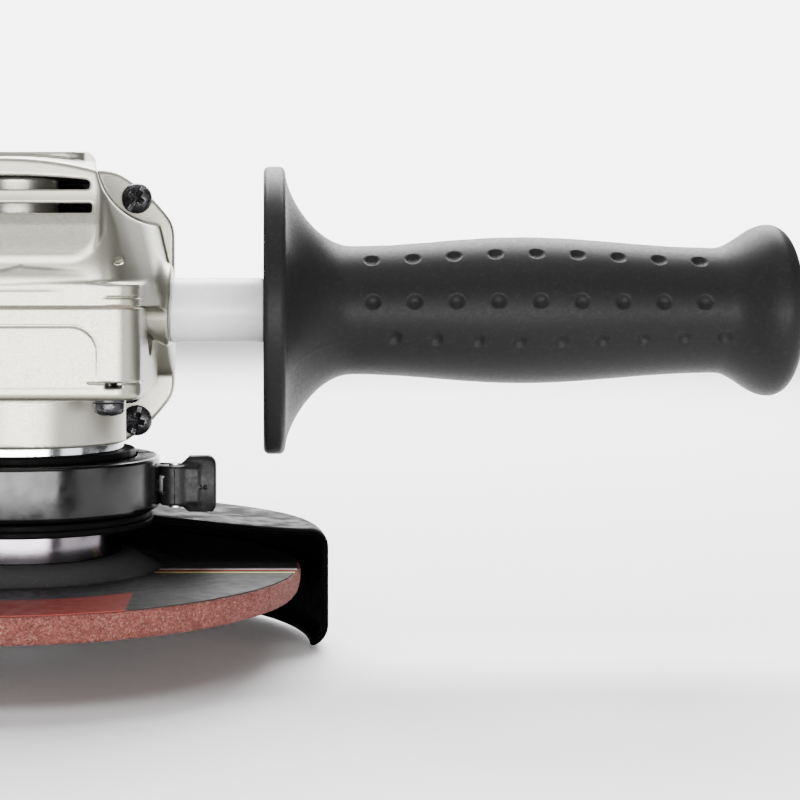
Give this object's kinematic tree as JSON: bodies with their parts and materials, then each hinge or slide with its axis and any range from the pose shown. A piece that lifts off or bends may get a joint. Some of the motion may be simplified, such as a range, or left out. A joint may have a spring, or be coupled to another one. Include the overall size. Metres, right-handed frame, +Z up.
{
  "type": "angle grinder",
  "caption": "Hand-held angle grinder with a bevel gear head, a depressed-centre grinding disc under a half guard, a screw-in side handle and a slim motor body.",
  "frame": {"origin": "where the spindle axis crosses the motor axis, which is also the axis of the two side handle threads", "axes": "+X along the side handle, +Y from the gear head back along the motor, +Z up the spindle away from the disc"},
  "size_m": [0.2402, 0.2965, 0.1113],
  "materials": {
    "champagne_paint": "satin",
    "bright_steel": "satin",
    "dark_steel": "polished",
    "black_oxide": "satin",
    "zinc_steel": "satin",
    "gloss_black_sheet": "gloss",
    "die_cast_black": "satin",
    "abrasive": "rough",
    "label_paper": "satin",
    "grip_black": "matte",
    "body_plastic": "matte",
    "trim_black": "matte",
    "sleeve_white": "satin",
    "copper": "satin",
    "lamination": "matte",
    "brass": "satin",
    "carbon": "matte",
    "gasket_paper": "matte",
    "gland_rubber": "matte"
  },
  "bodies": {
    "housing": {"gear_housing": "champagne_paint", "gearbox_cover": "champagne_paint", "cover_gasket": "gasket_paper", "cover_screws": "black_oxide", "cover_screw_washers": "black_oxide", "housing_screws": "black_oxide", "spindle_bearing_outer": "bright_steel", "spindle_bush": "brass", "bearing_retainer": "zinc_steel", "retainer_screws": "zinc_steel", "front_bearing_outer": "bright_steel", "rear_bearing_outer": "bright_steel", "front_bearing_plate": "zinc_steel", "baffle_plate": "trim_black", "motor_housing": "body_plastic", "stator_core": "lamination", "field_coils": "copper", "stator_screws": "zinc_steel", "brush_holders": "brass", "carbon_brushes": "carbon", "brush_springs": "bright_steel", "switch_body": "trim_black", "rear_cover_left": "body_plastic", "rear_cover_right": "body_plastic", "rear_cover_screws": "zinc_steel", "cord_gland": "gland_rubber"},
    "spindle": {"spindle": "bright_steel", "bevel_gear": "bright_steel", "gear_key": "bright_steel", "spindle_bearing_inner": "bright_steel", "dust_ring": "bright_steel", "inner_flange": "dark_steel", "grinding_disc": "abrasive", "disc_bore_ring": "zinc_steel", "disc_label": "label_paper", "lock_nut": "black_oxide"},
    "armature": {"armature_shaft": "bright_steel", "armature_core": "lamination", "armature_windings": "copper", "commutator": "copper", "cooling_fan": "trim_black", "bevel_pinion": "bright_steel", "pinion_nut": "zinc_steel", "front_bearing_inner": "bright_steel", "rear_bearing_inner": "bright_steel"},
    "spindle_lock": {"lock_button": "trim_black", "lock_pin": "bright_steel", "lock_spring": "bright_steel"},
    "switch": {"switch_slider": "trim_black", "switch_rod": "zinc_steel"},
    "side_handle": {"handle_grip": "grip_black", "handle_sleeve": "sleeve_white", "handle_stud": "bright_steel"},
    "guard": {"guard_shell": "gloss_black_sheet", "guard_collar": "gloss_black_sheet", "clamp_band": "gloss_black_sheet", "clamp_bolt": "zinc_steel", "clamp_nut": "zinc_steel", "lever_pin": "zinc_steel"},
    "guard_lever": {"clamp_lever": "die_cast_black"}
  },
  "joints": [
    {"name": "spindle_spin", "type": "hinge", "parent": "housing", "child": "spindle", "pos_m": [0, 0, 0], "axis": [0, 0, 1], "continuous": true},
    {"name": "armature_spin", "type": "hinge", "parent": "housing", "child": "armature", "pos_m": [0, 0, 0], "axis": [0, 1, 0], "continuous": true},
    {"name": "guard_turn", "type": "hinge", "parent": "housing", "child": "guard", "pos_m": [0, 0, 0], "axis": [0, 0, 1], "range_deg": [-110, 110]},
    {"name": "lever_swing", "type": "hinge", "parent": "guard", "child": "guard_lever", "pos_m": [0.034, 0.001, 0], "axis": [0, 0, 1], "range_deg": [-100, 0]},
    {"name": "lock_press", "type": "slide", "parent": "housing", "child": "spindle_lock", "axis": [0, 0, -1], "range_m": [0, 0.005], "stiffness_N_per_m": 400, "springref_m": -0.003, "deforming": ["lock_spring"]},
    {"name": "switch_slide", "type": "slide", "parent": "housing", "child": "switch", "axis": [0, -1, 0], "range_m": [0, 0.007]},
    {"name": "handle_unscrew", "type": "slide", "parent": "housing", "child": "side_handle", "axis": [1, 0, 0], "range_m": [0, 0.03]}
  ],
  "couplings": [
    {"joint": "armature_spin", "follows": "spindle_spin", "ratio": 3.8}
  ]
}
